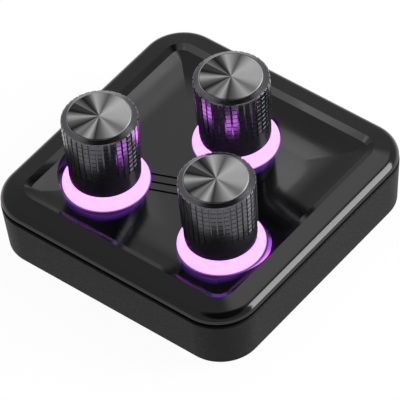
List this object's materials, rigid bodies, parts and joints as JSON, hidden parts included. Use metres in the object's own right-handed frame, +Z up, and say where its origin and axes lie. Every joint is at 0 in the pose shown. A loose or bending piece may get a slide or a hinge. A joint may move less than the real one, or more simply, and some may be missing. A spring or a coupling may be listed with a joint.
{
  "type": "macro keypad with knobs",
  "caption": "Square desk macro pad: gloss-black dished cover on a matt case, knurled push-and-turn knobs on encoder shafts, each in a lit violet ring, USB-C at the rear.",
  "frame": {"origin": "middle of the footprint, on the desk under the rubber feet", "axes": "+X to the user's right, +Y away from the user towards the cable side, +Z up"},
  "size_m": [0.06, 0.06, 0.0304],
  "materials": {
    "case_plastic": "matt black, fine spark texture",
    "cover_plastic": "high-gloss black",
    "board_laminate": "dark green solder mask, satin",
    "chip_epoxy": "black moulded epoxy",
    "ceramic_parts": "tan ceramic with tinned ends",
    "plated_steel": "nickel-plated sheet, satin",
    "black_nylon": "black glass-filled nylon",
    "zinc_screws": "zinc plated",
    "foot_rubber": "soft black rubber",
    "tinned_brass": "tinned",
    "led_lens": "clear resin over violet-white light",
    "ring_diffuser": "milky diffuser, lit pink-violet",
    "white_acetal": "natural white acetal",
    "turned_aluminium": "turned, satin",
    "insert_nylon": "dark moulded nylon",
    "knob_aluminium": "dark anodised, knurled",
    "spun_aluminium": "circular turned grain, clear anodised"
  },
  "bodies": {
    "housing": {"bottom_case": "case_plastic", "top_cover": "cover_plastic", "circuit_board": "board_laminate", "main_chip": "chip_epoxy", "board_parts": "ceramic_parts", "usb_shell": "plated_steel", "usb_tongue": "black_nylon", "case_screws": "zinc_screws", "board_screws": "zinc_screws", "rubber_feet": "foot_rubber", "encoder_pins": "tinned_brass", "leds_left": "led_lens", "light_ring_left": "ring_diffuser", "encoder_base_left": "black_nylon", "encoder_housing_left": "plated_steel", "leds_right": "led_lens", "light_ring_right": "ring_diffuser", "encoder_base_right": "black_nylon", "encoder_housing_right": "plated_steel", "leds_rear": "led_lens", "light_ring_rear": "ring_diffuser", "encoder_base_rear": "black_nylon", "encoder_housing_rear": "plated_steel"},
    "slider_left": {"push_slider_left": "white_acetal"},
    "knob_left": {"encoder_shaft_left": "turned_aluminium", "knob_insert_left": "insert_nylon", "knob_shell_left": "knob_aluminium", "knob_cap_left": "spun_aluminium"},
    "rotor_left": {"encoder_rotor_left": "white_acetal"},
    "slider_right": {"push_slider_right": "white_acetal"},
    "knob_right": {"encoder_shaft_right": "turned_aluminium", "knob_insert_right": "insert_nylon", "knob_shell_right": "knob_aluminium", "knob_cap_right": "spun_aluminium"},
    "rotor_right": {"encoder_rotor_right": "white_acetal"},
    "slider_rear": {"push_slider_rear": "white_acetal"},
    "knob_rear": {"encoder_shaft_rear": "turned_aluminium", "knob_insert_rear": "insert_nylon", "knob_shell_rear": "knob_aluminium", "knob_cap_rear": "spun_aluminium"},
    "rotor_rear": {"encoder_rotor_rear": "white_acetal"}
  },
  "joints": [
    {"name": "press_left", "type": "slide", "parent": "housing", "child": "slider_left", "axis": [0, 0, 1], "range_m": [-0.0005, 0], "stiffness_N_per_m": 2000, "springref_m": 0.001},
    {"name": "turn_left", "type": "hinge", "parent": "slider_left", "child": "knob_left", "pos_m": [-0.0139, -0.0116, 0.02], "axis": [0, 0, 1], "continuous": true},
    {"name": "rotor_turn_left", "type": "hinge", "parent": "housing", "child": "rotor_left", "pos_m": [-0.0139, -0.0116, 0.007], "axis": [0, 0, 1], "continuous": true},
    {"name": "press_right", "type": "slide", "parent": "housing", "child": "slider_right", "axis": [0, 0, 1], "range_m": [-0.0005, 0], "stiffness_N_per_m": 2000, "springref_m": 0.001},
    {"name": "turn_right", "type": "hinge", "parent": "slider_right", "child": "knob_right", "pos_m": [0.0144, -0.0116, 0.02], "axis": [0, 0, 1], "continuous": true},
    {"name": "rotor_turn_right", "type": "hinge", "parent": "housing", "child": "rotor_right", "pos_m": [0.0144, -0.0116, 0.007], "axis": [0, 0, 1], "continuous": true},
    {"name": "press_rear", "type": "slide", "parent": "housing", "child": "slider_rear", "axis": [0, 0, 1], "range_m": [-0.0005, 0], "stiffness_N_per_m": 2000, "springref_m": 0.001},
    {"name": "turn_rear", "type": "hinge", "parent": "slider_rear", "child": "knob_rear", "pos_m": [0.00025, 0.0111, 0.02], "axis": [0, 0, 1], "continuous": true},
    {"name": "rotor_turn_rear", "type": "hinge", "parent": "housing", "child": "rotor_rear", "pos_m": [0.00025, 0.0111, 0.007], "axis": [0, 0, 1], "continuous": true}
  ],
  "couplings": [
    {"joint": "rotor_turn_left", "follows": "turn_left", "ratio": 1},
    {"joint": "rotor_turn_right", "follows": "turn_right", "ratio": 1},
    {"joint": "rotor_turn_rear", "follows": "turn_rear", "ratio": 1}
  ]
}
